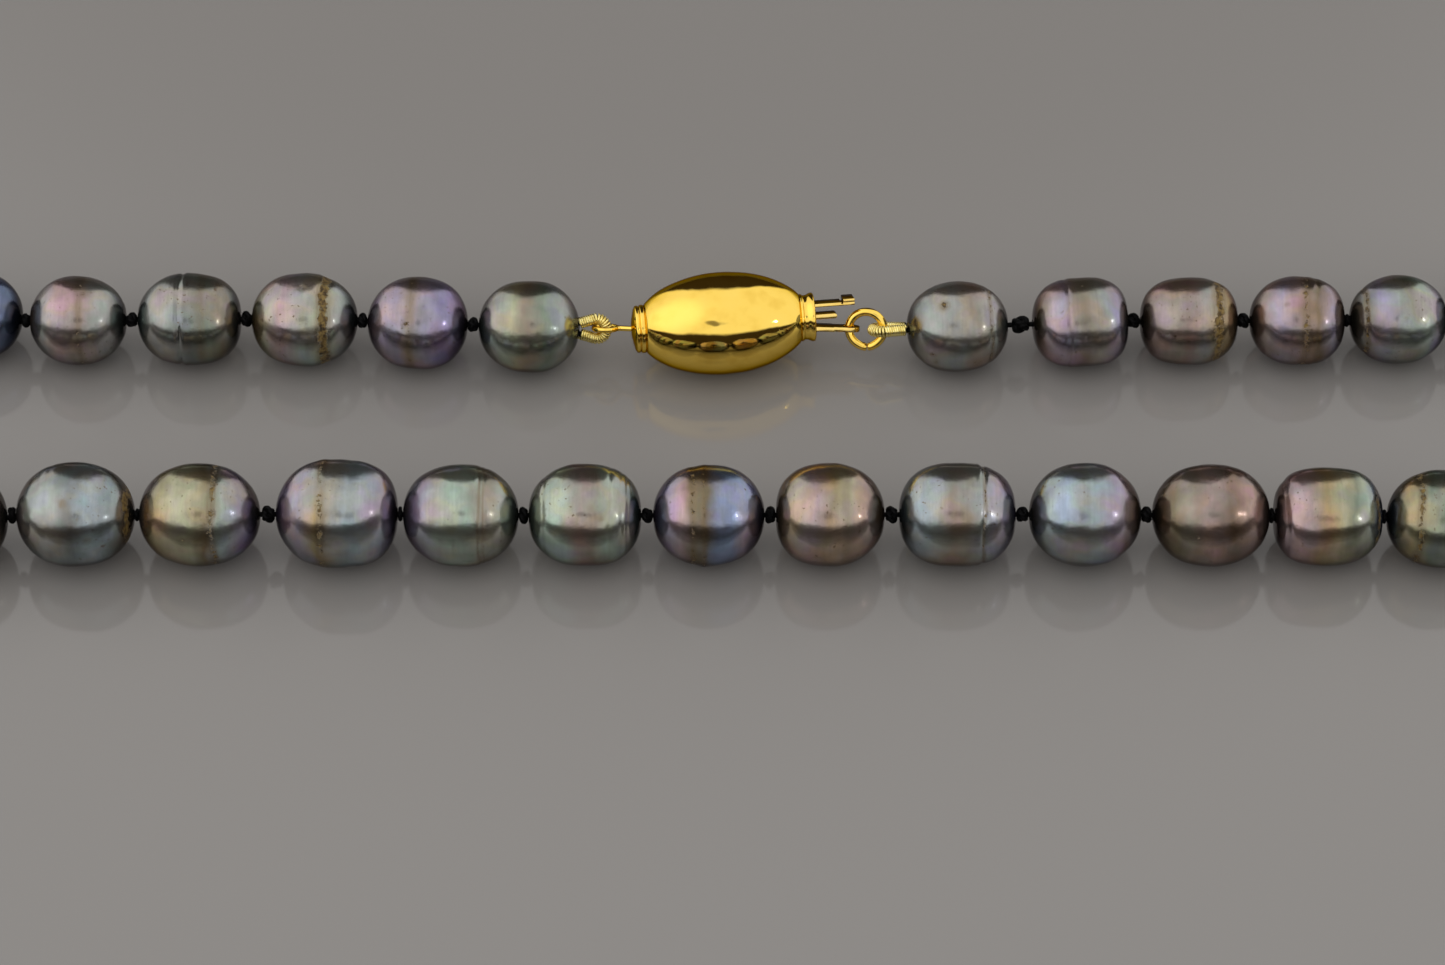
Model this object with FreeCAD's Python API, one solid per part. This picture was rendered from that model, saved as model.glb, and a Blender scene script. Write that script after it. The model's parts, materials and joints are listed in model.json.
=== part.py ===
import FreeCAD, Part
import math
import os

# A closed strand of 42 drilled baroque pearls on knotted silk, with an olive-shaped gold clasp.
# Millimetres. X runs along the two parallel strands, Y across them, +Z is up. The necklace lies
# flat on the plane Z = 0, and the clasp is in the strand on the +Y side.

# ---- the two strands and the turns that join them ----
STRAND_HALF_SPACING = 11.2
TURN_STARTS_AT = 62.0
TURN_RADIUS = 15.5
DIP_AT_CLASP = 1.05
DIP_ENDS_AT = 36.0
OPEN_KNOT_X = -6.3

# ---- drilled pearls: length along the bore, diameter, silk gap to the next pearl ----
LEFT_BACK = [(8.8, 8.0, 0.92), (8.75, 8.05, 0.85), (9.2, 8.15, 0.95),
             (9.0, 8.0, 0.98), (8.35, 7.75, 0.75), (8.6, 7.8, 0.95)]
LEFT_FRONT = [(9.5, 8.6, 0.8), (9.85, 8.75, 0.4), (10.1, 8.6, 1.35),
              (10.15, 9.0, 0.45), (9.65, 8.55, 0.85), (9.45, 8.55, 0.95)]
RIGHT_BACK = [(8.85, 7.9, 2.1), (8.3, 7.8, 1.1), (8.5, 7.6, 1.0), (8.3, 7.7, 0.4), (8.5, 7.7, 0.95)]
RIGHT_FRONT = [(9.3, 8.25, 0.4), (9.0, 8.25, 0.42), (9.8, 8.6, 0.95), (9.35, 8.7, 1.15),
               (9.75, 8.75, 1.2), (9.1, 8.65, 0.92), (9.35, 8.5, 0.95)]
TURN_PEARLS = 9
TURN_LENGTH = (8.7, 9.5)
TURN_DIAMETER = (7.8, 8.5)
TURN_GAP = 0.95
PEARL_SQUARENESS = 2.3
BORE_RADIUS = 0.42

# ---- silk ----
SILK_RADIUS = 0.3
LARGEST_KNOT_RADIUS = 0.75
KNOT_CLEARANCE = 0.03
SILK_START = 0.15

# ---- clasp ----
CLASP_Y = 10.35
CLASP_HALF_LENGTH = 7.63
CLASP_RADIUS = 4.45
CLASP_WALL = 0.35
CLASP_END_X = 6.75
CLASP_YAW_DEG = 5.5
CLASP_ROLL_DEG = -37.0
END_CAP_RADIUS = 2.1
END_CAP_TIP_X = 7.95
MOUTH_RADIUS = 1.75
MOUTH_RIM_RADIUS = 2.12
MOUTH_TIP_X = 8.0
CATCH_PLATE_X = 6.95
CATCH_PLATE_THICKNESS = 0.4
WINDOW_HALF_WIDTH = 1.1
WINDOW_LOW_Z = -1.3
WINDOW_HIGH_Z = 1.36
WINDOW_CORNER_RADIUS = 0.25

# ---- tongue ----
BAR_WIDTH = 2.0
BAR_THICKNESS = 0.4
BAR_MIDDLE_Z = -0.95
BAR_INNER_X = -3.6
BAR_BEND_X = 8.2
BAR_BEND_DEG = 6.0
TONGUE_EYE_X = 10.96
TONGUE_EYE_RADIUS = 0.94
TONGUE_EYE_HOLE_RADIUS = 0.49
BAR_NOTCH_X = 9.6
BAR_NOTCH_MARGIN = 0.12
LEAF_WIDTH = 1.9
LEAF_THICKNESS = 0.3
LEAF_FOLD_X = -3.2
LEAF_FOLD_RADIUS = 0.22
LEAF_LEVEL_X = 5.6
LEAF_MIDDLE_Z = 1.12
LEAF_TIP_X = 11.5
SHOULDER_X = 6.9
SHOULDER_LENGTH = 0.5
SHOULDER_HEIGHT = 0.2
SHOULDER_WIDTH = 1.2
THUMB_TAB_LENGTH = 1.0
THUMB_TAB_THICKNESS = 0.3
THUMB_TAB_OVERHANG = 0.15
THUMB_TAB_BEVEL = 0.05
THUMB_NOTCH = 0.16
GUARD_ROOT_X = 5.2
GUARD_ROOT_LENGTH = 0.6
GUARD_LEVEL_X = 6.2
GUARD_TIP_X = 9.95
GUARD_MIDDLE_Z = 0.08
GUARD_THICKNESS = 0.45
GUARD_WIDTH = 1.5

# ---- links between the clasp and the silk ----
EYE_CENTRE = FreeCAD.Vector(-10.16, 10.05, 4.15)
EYE_RADIUS = 0.97
EYE_WIRE_RADIUS = 0.24
EYE_ROOT = FreeCAD.Vector(-7.7, 9.72, 4.4)
RING_CENTRE = FreeCAD.Vector(12.49, 10.46, 3.58)
RING_YAW_DEG = -10.1
RING_RADIUS = 1.52
RING_WIRE_RADIUS = 0.36
RING_SPLIT = 0.06
BULLION_OUTER_RADIUS = 0.5
BULLION_INNER_RADIUS = 0.28
BULLION_CORE_RADIUS = 0.25
BULLION_END_SPREAD = 0.6
BULLION_END_GAP = 0.3
LEFT_BIGHT = FreeCAD.Vector(-10.04, 10.05, 4.15)
LEFT_BIGHT_RADIUS = 0.88
LEFT_MOUTH_X = -12.4
RIGHT_BIGHT = FreeCAD.Vector(13.04, 10.33, 3.66)
RIGHT_BIGHT_RADIUS = 1.0
RIGHT_MOUTH_X = 15.98

X_AXIS = FreeCAD.Vector(1, 0, 0)
Y_AXIS = FreeCAD.Vector(0, 1, 0)
Z_AXIS = FreeCAD.Vector(0, 0, 1)
ORIGIN = FreeCAD.Vector(0, 0, 0)


# ---------------------------------------------------------------- the route of the strand

def turn_flare(run):
    """Angle at which a strand leaves its straight, so that a run of this length meets the turn's arc."""
    reach = math.hypot(TURN_RADIUS, run)
    return math.acos(STRAND_HALF_SPACING / reach) - math.atan2(run, TURN_RADIUS)


def route_segments(start, end_out, run):
    """One half of the loop, from the clasp out round the turn and back, as lines and one arc.

    Places are (out, y), where out is the distance from the middle of the clasp along the strand.
    """
    flare = turn_flare(run)
    back_y = STRAND_HALF_SPACING
    leave = (TURN_STARTS_AT, back_y)
    tangent = (leave[0] + run * math.cos(flare), back_y + run * math.sin(flare))
    centre = (tangent[0] + TURN_RADIUS * math.sin(flare), 0.0)
    corners = [start, (DIP_ENDS_AT, back_y), leave, tangent]
    segments = [("line", a, b) for a, b in zip(corners[:-1], corners[1:])]
    segments.append(("arc", centre, math.pi / 2 + flare))
    corners = [(tangent[0], -tangent[1]), (leave[0], -back_y), (end_out - 20.0, -back_y)]
    segments += [("line", a, b) for a, b in zip(corners[:-1], corners[1:])]
    return segments


def segment_length(segment):
    if segment[0] == "line":
        return math.dist(segment[1], segment[2])
    return 2 * segment[2] * TURN_RADIUS


def route_point(segments, distance):
    """The point at this distance along the route."""
    for segment in segments:
        length = segment_length(segment)
        if distance <= length or segment is segments[-1]:
            share = distance / length
            if segment[0] == "line":
                (u0, y0), (u1, y1) = segment[1], segment[2]
                return (u0 + share * (u1 - u0), y0 + share * (y1 - y0))
            angle = segment[2] * (1 - 2 * share)
            (u0, y0) = segment[1]
            return (u0 + TURN_RADIUS * math.cos(angle), y0 + TURN_RADIUS * math.sin(angle))
        distance -= length


def pivots_along(segments, chords):
    """Knot places along the route, each a straight pearl's length from the last."""
    places = [route_point(segments, 0.0)]
    travelled = 0.0
    for chord in chords:
        low, high = travelled, travelled + 1.5 * chord
        for _ in range(50):
            middle = (low + high) / 2
            if math.dist(places[-1], route_point(segments, middle)) < chord:
                low = middle
            else:
                high = middle
        travelled = middle
        places.append(route_point(segments, travelled))
    return places


def half_strand(side, pearls, mouth_x):
    """Knot places of one half, as (x, y), with the turn's run solved to end it at the open knot."""
    start = (side * mouth_x, STRAND_HALF_SPACING - DIP_AT_CLASP)
    end_out = side * OPEN_KNOT_X
    gaps_before = [0.0] + [gap for _, _, gap in pearls[:-1]]
    chords = [before / 2 + length + gap / 2
              for before, (length, _, gap) in zip(gaps_before, pearls)]
    low, high = 2.0, 60.0
    for _ in range(50):
        run = (low + high) / 2
        places = pivots_along(route_segments(start, end_out, run), chords)
        if places[-1][0] > end_out:
            high = run
        else:
            low = run
    return [(side * out, y) for out, y in places]


def turn_pearls(phase):
    """Sizes of the pearls round one turn, graded from the back strand to the front one."""
    pearls = []
    for k in range(TURN_PEARLS):
        share = k / (TURN_PEARLS - 1)
        length = TURN_LENGTH[0] + share * (TURN_LENGTH[1] - TURN_LENGTH[0])
        diameter = TURN_DIAMETER[0] + share * (TURN_DIAMETER[1] - TURN_DIAMETER[0])
        pearls.append((length + 0.3 * math.sin(2.4 * k + phase),
                       diameter + 0.12 * math.sin(1.7 * k + phase), TURN_GAP))
    return pearls


# ---------------------------------------------------------------- pearls and silk

def pearl_solid(length, diameter):
    """A barrel-shaped pearl about X, centred on the origin, with its bore drilled through."""
    half, radius = length / 2, diameter / 2
    power = 2 / PEARL_SQUARENESS
    start_angle = math.asin((BORE_RADIUS / radius) ** (1 / power))
    points = []
    steps = 12
    for k in range(steps + 1):
        angle = start_angle + (math.pi - 2 * start_angle) * k / steps
        across = math.copysign(abs(math.cos(angle)) ** power, -math.cos(angle))
        points.append(FreeCAD.Vector(half * across, 0, radius * math.sin(angle) ** power))
    outline = Part.BSplineCurve()
    outline.interpolate(points)
    face = Part.Face(Part.Wire([outline.toShape(), Part.makeLine(points[-1], points[0])]))
    return face.revolve(ORIGIN, X_AXIS, 360)


def knot_radius(gap):
    return min(gap / 2 - KNOT_CLEARANCE, LARGEST_KNOT_RADIUS)


def along(place_a, place_b, distance, height):
    """The point at a distance from place_a towards place_b, at a height."""
    share = distance / math.dist(place_a, place_b)
    return FreeCAD.Vector(place_a[0] + share * (place_b[0] - place_a[0]),
                          place_a[1] + share * (place_b[1] - place_a[1]), height)


def strung_pearl(pearls, places, index, ends_in_knot):
    """One pearl on its stretch of silk, which ends in the knot on the pearl's outer side."""
    length, diameter, gap = pearls[index]
    inner, outer = places[index], places[index + 1]
    gap_before = pearls[index - 1][2] if index else 0.0
    height = diameter / 2
    next_height = pearls[index + 1][1] / 2 if index + 1 < len(pearls) else height
    heading = math.degrees(math.atan2(outer[1] - inner[1], outer[0] - inner[0]))
    pearl = pearl_solid(length, diameter)
    pearl.rotate(ORIGIN, Z_AXIS, heading)
    pearl.translate(along(inner, outer, gap_before / 2 + length / 2, height))
    start = along(inner, outer, knot_radius(gap_before) + KNOT_CLEARANCE if index else SILK_START, height)
    reach = math.dist(inner, outer) - (0.0 if ends_in_knot else knot_radius(gap) + KNOT_CLEARANCE)
    end = along(inner, outer, reach, height)
    silk = Part.makeCylinder(SILK_RADIUS, (end - start).Length, start, end - start)
    if ends_in_knot:
        # the thread stops at the middle of its knot, whose height is between the two pearls' bores
        knot_place = FreeCAD.Vector(end.x, end.y, (height + next_height) / 2)
        silk = silk.fuse(Part.makeSphere(knot_radius(gap), knot_place))
    return Part.makeCompound([pearl, silk.removeSplitter()])


# ---------------------------------------------------------------- clasp

def placed_in_clasp(shape):
    """Moves a shape from the clasp's own axes, X along it and Z across its strips, to the necklace's."""
    shape = shape.copy()
    shape.rotate(ORIGIN, X_AXIS, CLASP_ROLL_DEG)
    shape.rotate(ORIGIN, Z_AXIS, CLASP_YAW_DEG)
    shape.translate(FreeCAD.Vector(0, CLASP_Y, CLASP_RADIUS))
    return shape


def turned(outline):
    """A solid turned about X from its half outline, given as (x, radius) corners."""
    points = [FreeCAD.Vector(x, 0, r) for x, r in outline]
    return Part.Face(Part.makePolygon(points + points[:1])).revolve(ORIGIN, X_AXIS, 360)


def oval_radius(half_length, radius, x):
    return radius * math.sqrt(1 - (x / half_length) ** 2)


def oval_arc(half_length, radius, start_x, end_x):
    """The upper outline of an oval about X, between two places along it."""
    ellipse = Part.Ellipse(FreeCAD.Vector(half_length, 0, 0), FreeCAD.Vector(0, 0, radius), ORIGIN)
    start, end = math.acos(start_x / half_length), math.acos(end_x / half_length)
    return Part.ArcOfEllipse(ellipse, end, start).toShape()


def clasp_shell():
    """The hollow olive: cut square at both ends, closed at the left and open at the mouth."""
    inner_half, inner_radius = CLASP_HALF_LENGTH - CLASP_WALL, CLASP_RADIUS - CLASP_WALL
    end, closed_end = CLASP_END_X, -CLASP_END_X + CLASP_WALL
    rim = oval_radius(CLASP_HALF_LENGTH, CLASP_RADIUS, end)
    mouth_x = inner_half * math.sqrt(1 - (MOUTH_RADIUS / inner_radius) ** 2)
    corners = [(end, rim), (end, MOUTH_RADIUS), (mouth_x, MOUTH_RADIUS)]
    back = [(closed_end, oval_radius(inner_half, inner_radius, closed_end)),
            (closed_end, 0), (-end, 0), (-end, rim)]
    edges = [oval_arc(CLASP_HALF_LENGTH, CLASP_RADIUS, -end, end),
             oval_arc(inner_half, inner_radius, closed_end, mouth_x)]
    for outline in (corners, back):
        edges += Part.makePolygon([FreeCAD.Vector(x, 0, z) for x, z in outline]).Edges
    return Part.Face(Part.Wire(Part.sortEdges(edges)[0])).revolve(ORIGIN, X_AXIS, 360)


def end_cap():
    """The closed end: two turned ridges with a groove between, and a domed tip."""
    x, r, tip = -CLASP_END_X, END_CAP_RADIUS, -END_CAP_TIP_X
    return turned([(x, 0), (x, r - 0.12), (x - 0.1, r), (x - 0.38, r), (x - 0.46, r - 0.15),
                   (x - 0.54, r - 0.05), (x - 0.76, r - 0.05), (x - 0.9, r - 0.3),
                   (x - 1.06, r - 0.9), (tip, r - 1.5), (tip, 0)])


def mouth_collar():
    """The open end: a necked tube with a flared rim."""
    x, r, tip = CLASP_END_X, MOUTH_RIM_RADIUS, MOUTH_TIP_X
    return turned([(x, MOUTH_RADIUS), (x, r - 0.1), (x + 0.15, r - 0.06), (x + 0.3, r - 0.2),
                   (x + 0.6, r - 0.17), (x + 0.85, r - 0.04), (x + 1.0, r), (x + 1.15, r),
                   (tip, r - 0.12), (tip, MOUTH_RADIUS)])


def catch_plate():
    """The disc inside the mouth, with the round-cornered window that the tongue passes through."""
    place = FreeCAD.Vector(CATCH_PLATE_X, 0, 0)
    disc = Part.makeCylinder(MOUTH_RADIUS, CATCH_PLATE_THICKNESS, place, X_AXIS)
    window = Part.makeBox(3 * CATCH_PLATE_THICKNESS, 2 * WINDOW_HALF_WIDTH, WINDOW_HIGH_Z - WINDOW_LOW_Z,
                          FreeCAD.Vector(CATCH_PLATE_X - CATCH_PLATE_THICKNESS, -WINDOW_HALF_WIDTH,
                                         WINDOW_LOW_Z))
    corners = [edge for edge in window.Edges if abs(edge.tangentAt(0).x) > 0.99]
    return disc.cut(window.makeFillet(WINDOW_CORNER_RADIUS, corners))


def strip(outline, width):
    """A strip of this width across Y, from its side outline in (x, z) corners."""
    points = [FreeCAD.Vector(x, -width / 2, z) for x, z in outline]
    return Part.Face(Part.makePolygon(points + points[:1])).extrude(FreeCAD.Vector(0, width, 0))


def bar_middle_z(x):
    """Height of the tongue bar's middle, level inside the shell and bent down outside it."""
    return BAR_MIDDLE_Z - max(0.0, x - BAR_BEND_X) * math.tan(math.radians(BAR_BEND_DEG))


def tongue_bar():
    """The flat bar: a straight inner strip, a bend at the mouth and a flat eye for the jump ring."""
    half = BAR_THICKNESS / 2
    eye_z = bar_middle_z(TONGUE_EYE_X)
    top = [(x, bar_middle_z(x) + half) for x in (BAR_INNER_X, BAR_BEND_X, TONGUE_EYE_X)]
    bottom = [(x, bar_middle_z(x) - half) for x in (TONGUE_EYE_X, BAR_BEND_X, BAR_INNER_X)]
    bar = strip(top + bottom, BAR_WIDTH)
    notch = BAR_WIDTH / 2 - TONGUE_EYE_RADIUS + BAR_NOTCH_MARGIN
    for side in (-1, 1):
        y = side * (BAR_WIDTH / 2) - (notch if side > 0 else 0)
        bar = bar.cut(Part.makeBox(3.0, notch, 3.0, FreeCAD.Vector(BAR_NOTCH_X, y, eye_z - 1.5)))
    bar = bar.fuse(tilted_disc(TONGUE_EYE_RADIUS, BAR_THICKNESS, TONGUE_EYE_X, eye_z))
    hole = tilted_disc(TONGUE_EYE_HOLE_RADIUS, 4 * BAR_THICKNESS, TONGUE_EYE_X, eye_z)
    return bar.cut(hole).removeSplitter()


def tilted_disc(radius, thickness, x, z):
    """A disc in the plane of the bar's bent end."""
    disc = Part.makeCylinder(radius, thickness, FreeCAD.Vector(0, 0, -thickness / 2), Z_AXIS)
    disc.rotate(ORIGIN, Y_AXIS, BAR_BEND_DEG)
    disc.translate(FreeCAD.Vector(x, 0, z))
    return disc


def leaf_fold_z():
    return BAR_MIDDLE_Z + BAR_THICKNESS / 2 + LEAF_FOLD_RADIUS + KNOT_CLEARANCE


def spring_leaf():
    """The upper strip: it rises from its fold over the bar's inner end and runs out of the mouth. Its
    ramped shoulder snaps up behind the catch plate and holds the tongue in."""
    half = LEAF_THICKNESS / 2
    fold_z = leaf_fold_z()
    notch_x = LEAF_TIP_X - THUMB_TAB_LENGTH
    leaf = strip([(LEAF_FOLD_X, fold_z + half), (LEAF_LEVEL_X, LEAF_MIDDLE_Z + half),
                  (notch_x - THUMB_NOTCH, LEAF_MIDDLE_Z + half), (notch_x - THUMB_NOTCH, LEAF_MIDDLE_Z),
                  (notch_x, LEAF_MIDDLE_Z), (notch_x, LEAF_MIDDLE_Z + half),
                  (LEAF_TIP_X, LEAF_MIDDLE_Z + half), (LEAF_TIP_X, LEAF_MIDDLE_Z - half),
                  (LEAF_LEVEL_X, LEAF_MIDDLE_Z - half), (LEAF_FOLD_X, fold_z - half)], LEAF_WIDTH)
    fold = Part.makeCylinder(LEAF_FOLD_RADIUS, LEAF_WIDTH,
                             FreeCAD.Vector(LEAF_FOLD_X, -LEAF_WIDTH / 2, fold_z), Y_AXIS)
    top = LEAF_MIDDLE_Z + half
    shoulder = strip([(SHOULDER_X - SHOULDER_LENGTH, top), (SHOULDER_X, top + SHOULDER_HEIGHT),
                      (SHOULDER_X, top)], SHOULDER_WIDTH)
    return leaf.fuse(fold).fuse(shoulder).removeSplitter()


def thumb_tab():
    """The thicker block on the leaf's end, which is pressed to free the tongue."""
    low = LEAF_MIDDLE_Z + LEAF_THICKNESS / 2
    high = low + THUMB_TAB_THICKNESS
    start, end, bevel = LEAF_TIP_X - THUMB_TAB_LENGTH, LEAF_TIP_X, THUMB_TAB_BEVEL
    return strip([(start, low), (start, high - bevel), (start + bevel, high), (end - bevel, high),
                  (end, high - bevel), (end, low)], LEAF_WIDTH + 2 * THUMB_TAB_OVERHANG)


def guard_tab():
    """The short middle strip between leaf and bar, with a rounded tip."""
    half = GUARD_THICKNESS / 2
    bar_top = BAR_MIDDLE_Z + BAR_THICKNESS / 2
    tip_centre = GUARD_TIP_X - half
    tab = strip([(GUARD_ROOT_X, bar_top), (GUARD_ROOT_X + GUARD_ROOT_LENGTH, bar_top),
                 (GUARD_LEVEL_X, GUARD_MIDDLE_Z - half), (tip_centre, GUARD_MIDDLE_Z - half),
                 (tip_centre, GUARD_MIDDLE_Z + half),
                 (GUARD_LEVEL_X - GUARD_ROOT_LENGTH / 2, GUARD_MIDDLE_Z + half)], GUARD_WIDTH)
    tip = Part.makeCylinder(half, GUARD_WIDTH, FreeCAD.Vector(tip_centre, -GUARD_WIDTH / 2, GUARD_MIDDLE_Z),
                            Y_AXIS)
    return tab.fuse(tip).removeSplitter()


# ---------------------------------------------------------------- links

def rolled(shape, centre, direction=X_AXIS):
    """Turns a shape made about the origin so that its X axis points this way and its Z axis leans
    as the clasp's strips do, and puts it at its place."""
    shape = shape.copy()
    lean = FreeCAD.Rotation(X_AXIS, CLASP_ROLL_DEG).multVec(Z_AXIS)
    turn = FreeCAD.Rotation(direction, FreeCAD.Vector(), lean, "XZY")
    shape.rotate(ORIGIN, turn.Axis, math.degrees(turn.Angle))
    shape.translate(centre)
    return shape


def left_eye():
    """The round wire eye on a short shank from the end cap."""
    eye = rolled(Part.makeTorus(EYE_RADIUS, EYE_WIRE_RADIUS), EYE_CENTRE)
    reach = EYE_CENTRE + FreeCAD.Vector(EYE_RADIUS, 0, 0) - EYE_ROOT
    shank = Part.makeCylinder(EYE_WIRE_RADIUS, reach.Length, EYE_ROOT, reach)
    return eye.fuse(shank.cut(placed_in_clasp(end_cap()))).removeSplitter()


def jump_ring():
    """The round wire ring, in the plane across the tongue's strips, cut through at its lowest point."""
    ring = Part.makeTorus(RING_RADIUS, RING_WIRE_RADIUS, ORIGIN, Y_AXIS)
    cut = Part.makeBox(RING_SPLIT, 2.0, 2.0, FreeCAD.Vector(-RING_SPLIT / 2, -1.0, -RING_RADIUS - 1.0))
    yaw = FreeCAD.Rotation(Z_AXIS, RING_YAW_DEG)
    return rolled(ring.cut(cut), RING_CENTRE, yaw.multVec(X_AXIS))


def horseshoe_bar(radius, bight_radius, length, stands_up):
    """A round bar bent into a loop: a half turn that begins at the origin, and two legs that run back
    towards +X and close in on the pearl's bore."""
    turn_centre = FreeCAD.Vector(bight_radius, 0, 0)
    across = Z_AXIS if stands_up else Y_AXIS
    section = Part.Face(Part.Wire([Part.makeCircle(radius, turn_centre + across * bight_radius, X_AXIS)]))
    bar = section.revolve(turn_centre, X_AXIS.cross(across), 180)
    for side in (1, -1):
        shoulder = turn_centre + across * (side * bight_radius)
        end = FreeCAD.Vector(length - BULLION_END_GAP, 0, 0) + across * (side * BULLION_END_SPREAD)
        leg = Part.makeCylinder(radius, (end - shoulder).Length, shoulder, end - shoulder)
        bar = bar.fuse(leg).fuse(Part.makeSphere(radius, shoulder))
    return bar.removeSplitter()


def bullion_loops():
    """Both bullion loops and the silk inside them, each from its link to its pearl's bore."""
    mouth_y = STRAND_HALF_SPACING - DIP_AT_CLASP
    places = {
        "left": (LEFT_BIGHT, FreeCAD.Vector(LEFT_MOUTH_X, mouth_y, LEFT_BACK[0][1] / 2),
                 LEFT_BIGHT_RADIUS, True),
        "right": (RIGHT_BIGHT, FreeCAD.Vector(RIGHT_MOUTH_X, mouth_y, RIGHT_BACK[0][1] / 2),
                  RIGHT_BIGHT_RADIUS, False),
    }
    shapes = {}
    for side, (bight, mouth, bight_radius, stands_up) in places.items():
        loop = (bight_radius, (mouth - bight).Length, stands_up)
        tube = horseshoe_bar(BULLION_OUTER_RADIUS, *loop).cut(horseshoe_bar(BULLION_INNER_RADIUS, *loop))
        core = horseshoe_bar(BULLION_CORE_RADIUS, *loop)
        shapes["bullion_" + side] = rolled(tube, bight, mouth - bight)
        shapes["silk_core_" + side] = rolled(core, bight, mouth - bight)
    return shapes


# ---------------------------------------------------------------- the whole necklace

def all_shapes():
    shapes = {
        "clasp_shell": placed_in_clasp(clasp_shell()),
        "end_cap": placed_in_clasp(end_cap()),
        "mouth_collar": placed_in_clasp(mouth_collar()),
        "catch_plate": placed_in_clasp(catch_plate()),
        "left_eye": left_eye(),
        "tongue_bar": placed_in_clasp(tongue_bar()),
        "guard_tab": placed_in_clasp(guard_tab()),
        "spring_leaf": placed_in_clasp(spring_leaf()),
        "thumb_tab": placed_in_clasp(thumb_tab()),
        "jump_ring": jump_ring(),
    }
    shapes.update(bullion_loops())
    for side, pearls, mouth_x in halves():
        places = half_strand(side, pearls, mouth_x)
        for index in range(len(pearls)):
            ends_in_knot = side < 0 or index + 1 < len(pearls)
            shapes[pearl_name(side, index)] = strung_pearl(pearls, places, index, ends_in_knot)
    return shapes


def halves():
    """Both halves of the strand: the side it is on, its pearls from the clasp outwards, its first mouth."""
    return [(-1, LEFT_BACK + turn_pearls(0.4) + LEFT_FRONT, LEFT_MOUTH_X),
            (1, RIGHT_BACK + turn_pearls(2.1) + RIGHT_FRONT, RIGHT_MOUTH_X)]


def pearl_name(side, index):
    """Pearls are numbered round the loop, from the one left of the clasp to the one right of it."""
    count = sum(len(pearls) for _, pearls, _ in halves())
    return f"pearl_{index + 1 if side < 0 else count - index:02d}"


def centred(shapes):
    """Moves every shape so that the whole necklace is centred over the origin and stands on Z = 0."""
    box = Part.makeCompound(list(shapes.values())).optimalBoundingBox(True, False)
    shift = FreeCAD.Vector(-box.Center.x, -box.Center.y, -box.ZMin)
    for shape in shapes.values():
        shape.translate(shift)
    return shift


def main():
    os.makedirs("parts", exist_ok=True)
    shapes = all_shapes()
    shift = centred(shapes)
    print("shifted by", shift)
    for name, shape in shapes.items():
        shape.exportStep(f"parts/{name}.step")


if __name__ == "__main__":
    main()
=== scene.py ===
import json
import math
import random

import bmesh
import bpy
import numpy as np
from mathutils import Matrix, Vector, noise

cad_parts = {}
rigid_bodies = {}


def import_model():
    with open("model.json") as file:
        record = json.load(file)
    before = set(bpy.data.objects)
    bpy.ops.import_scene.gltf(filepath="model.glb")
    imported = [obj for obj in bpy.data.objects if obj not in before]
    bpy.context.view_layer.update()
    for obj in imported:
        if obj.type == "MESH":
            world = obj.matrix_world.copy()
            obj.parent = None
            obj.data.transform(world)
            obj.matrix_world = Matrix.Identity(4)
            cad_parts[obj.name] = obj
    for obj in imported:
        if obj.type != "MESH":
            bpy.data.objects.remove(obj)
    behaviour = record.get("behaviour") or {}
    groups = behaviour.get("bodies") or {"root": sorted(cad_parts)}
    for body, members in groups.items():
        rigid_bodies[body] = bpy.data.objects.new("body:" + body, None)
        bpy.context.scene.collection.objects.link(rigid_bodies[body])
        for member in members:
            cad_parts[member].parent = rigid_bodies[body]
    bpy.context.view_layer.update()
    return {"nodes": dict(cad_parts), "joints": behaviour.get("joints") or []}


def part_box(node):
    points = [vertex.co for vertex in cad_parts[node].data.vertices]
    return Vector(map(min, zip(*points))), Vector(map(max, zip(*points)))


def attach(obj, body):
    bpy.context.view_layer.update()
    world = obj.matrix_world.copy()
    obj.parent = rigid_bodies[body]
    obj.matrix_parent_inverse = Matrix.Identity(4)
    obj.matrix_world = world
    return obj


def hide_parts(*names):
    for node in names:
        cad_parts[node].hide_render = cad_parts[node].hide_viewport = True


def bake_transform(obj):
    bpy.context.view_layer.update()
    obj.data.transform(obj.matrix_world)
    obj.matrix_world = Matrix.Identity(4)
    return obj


# The looks of a baroque pearl necklace with an olive-shaped gold clasp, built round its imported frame.
# Shapes are worked out in millimetres in a local place, and written in metres. Named sizes are millimetres,
# apart from the places of the camera and the lamp, which are metres.

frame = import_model()

MM = 0.001
UP = Vector((0, 0, 1))
PEARL_COUNT = 42
LEFT_PEARLS = 21

# ---- pearls ----
STEPS_ALONG, STEPS_AROUND = 88, 72
BORE = 0.42
# in the CAD part the silk stays within this radius, and what lies outside it is this share of the length
SILK_REACH, BODY_SHARE = 1.3, 0.965
# ---- silk ----
THREAD_RADIUS, CORE_RADIUS = 0.22, 0.24
THREAD_IN_BORE, LOOSE_THREAD_IN_BORE = 0.8, 0.15
LEAST_GAP, LONGEST_KNOT = 0.4, 1.9
# a knot's thread sways the first share of its length each way, and winds round at one to three times the
# second share of its size
KNOT_SWAY, KNOT_SPREAD = 0.31, 0.14
# ---- clasp, in its own axes: X along it, Z across its strips ----
SHELL_HALF_LENGTH, SHELL_RADIUS, SHELL_END, SHELL_WALL = 7.63, 4.45, 6.75, 0.35
MOUTH_RADIUS, RIM_RADIUS, RIM_TIP = 1.75, 2.12, 8.0
CAP_RADIUS, CAP_TIP = 2.1, 7.95
EDGE = 0.05
EYE_RADIUS, EYE_WIRE = 0.97, 0.24
RING_RADIUS, RING_WIRE, RING_HALF_CUT = 1.52, 0.36, 0.022
# how far the jump ring is drawn out at its cut, as a share of its radius, and over what angle
RING_POINT, RING_POINT_ANGLE = 0.045, 0.35
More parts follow.
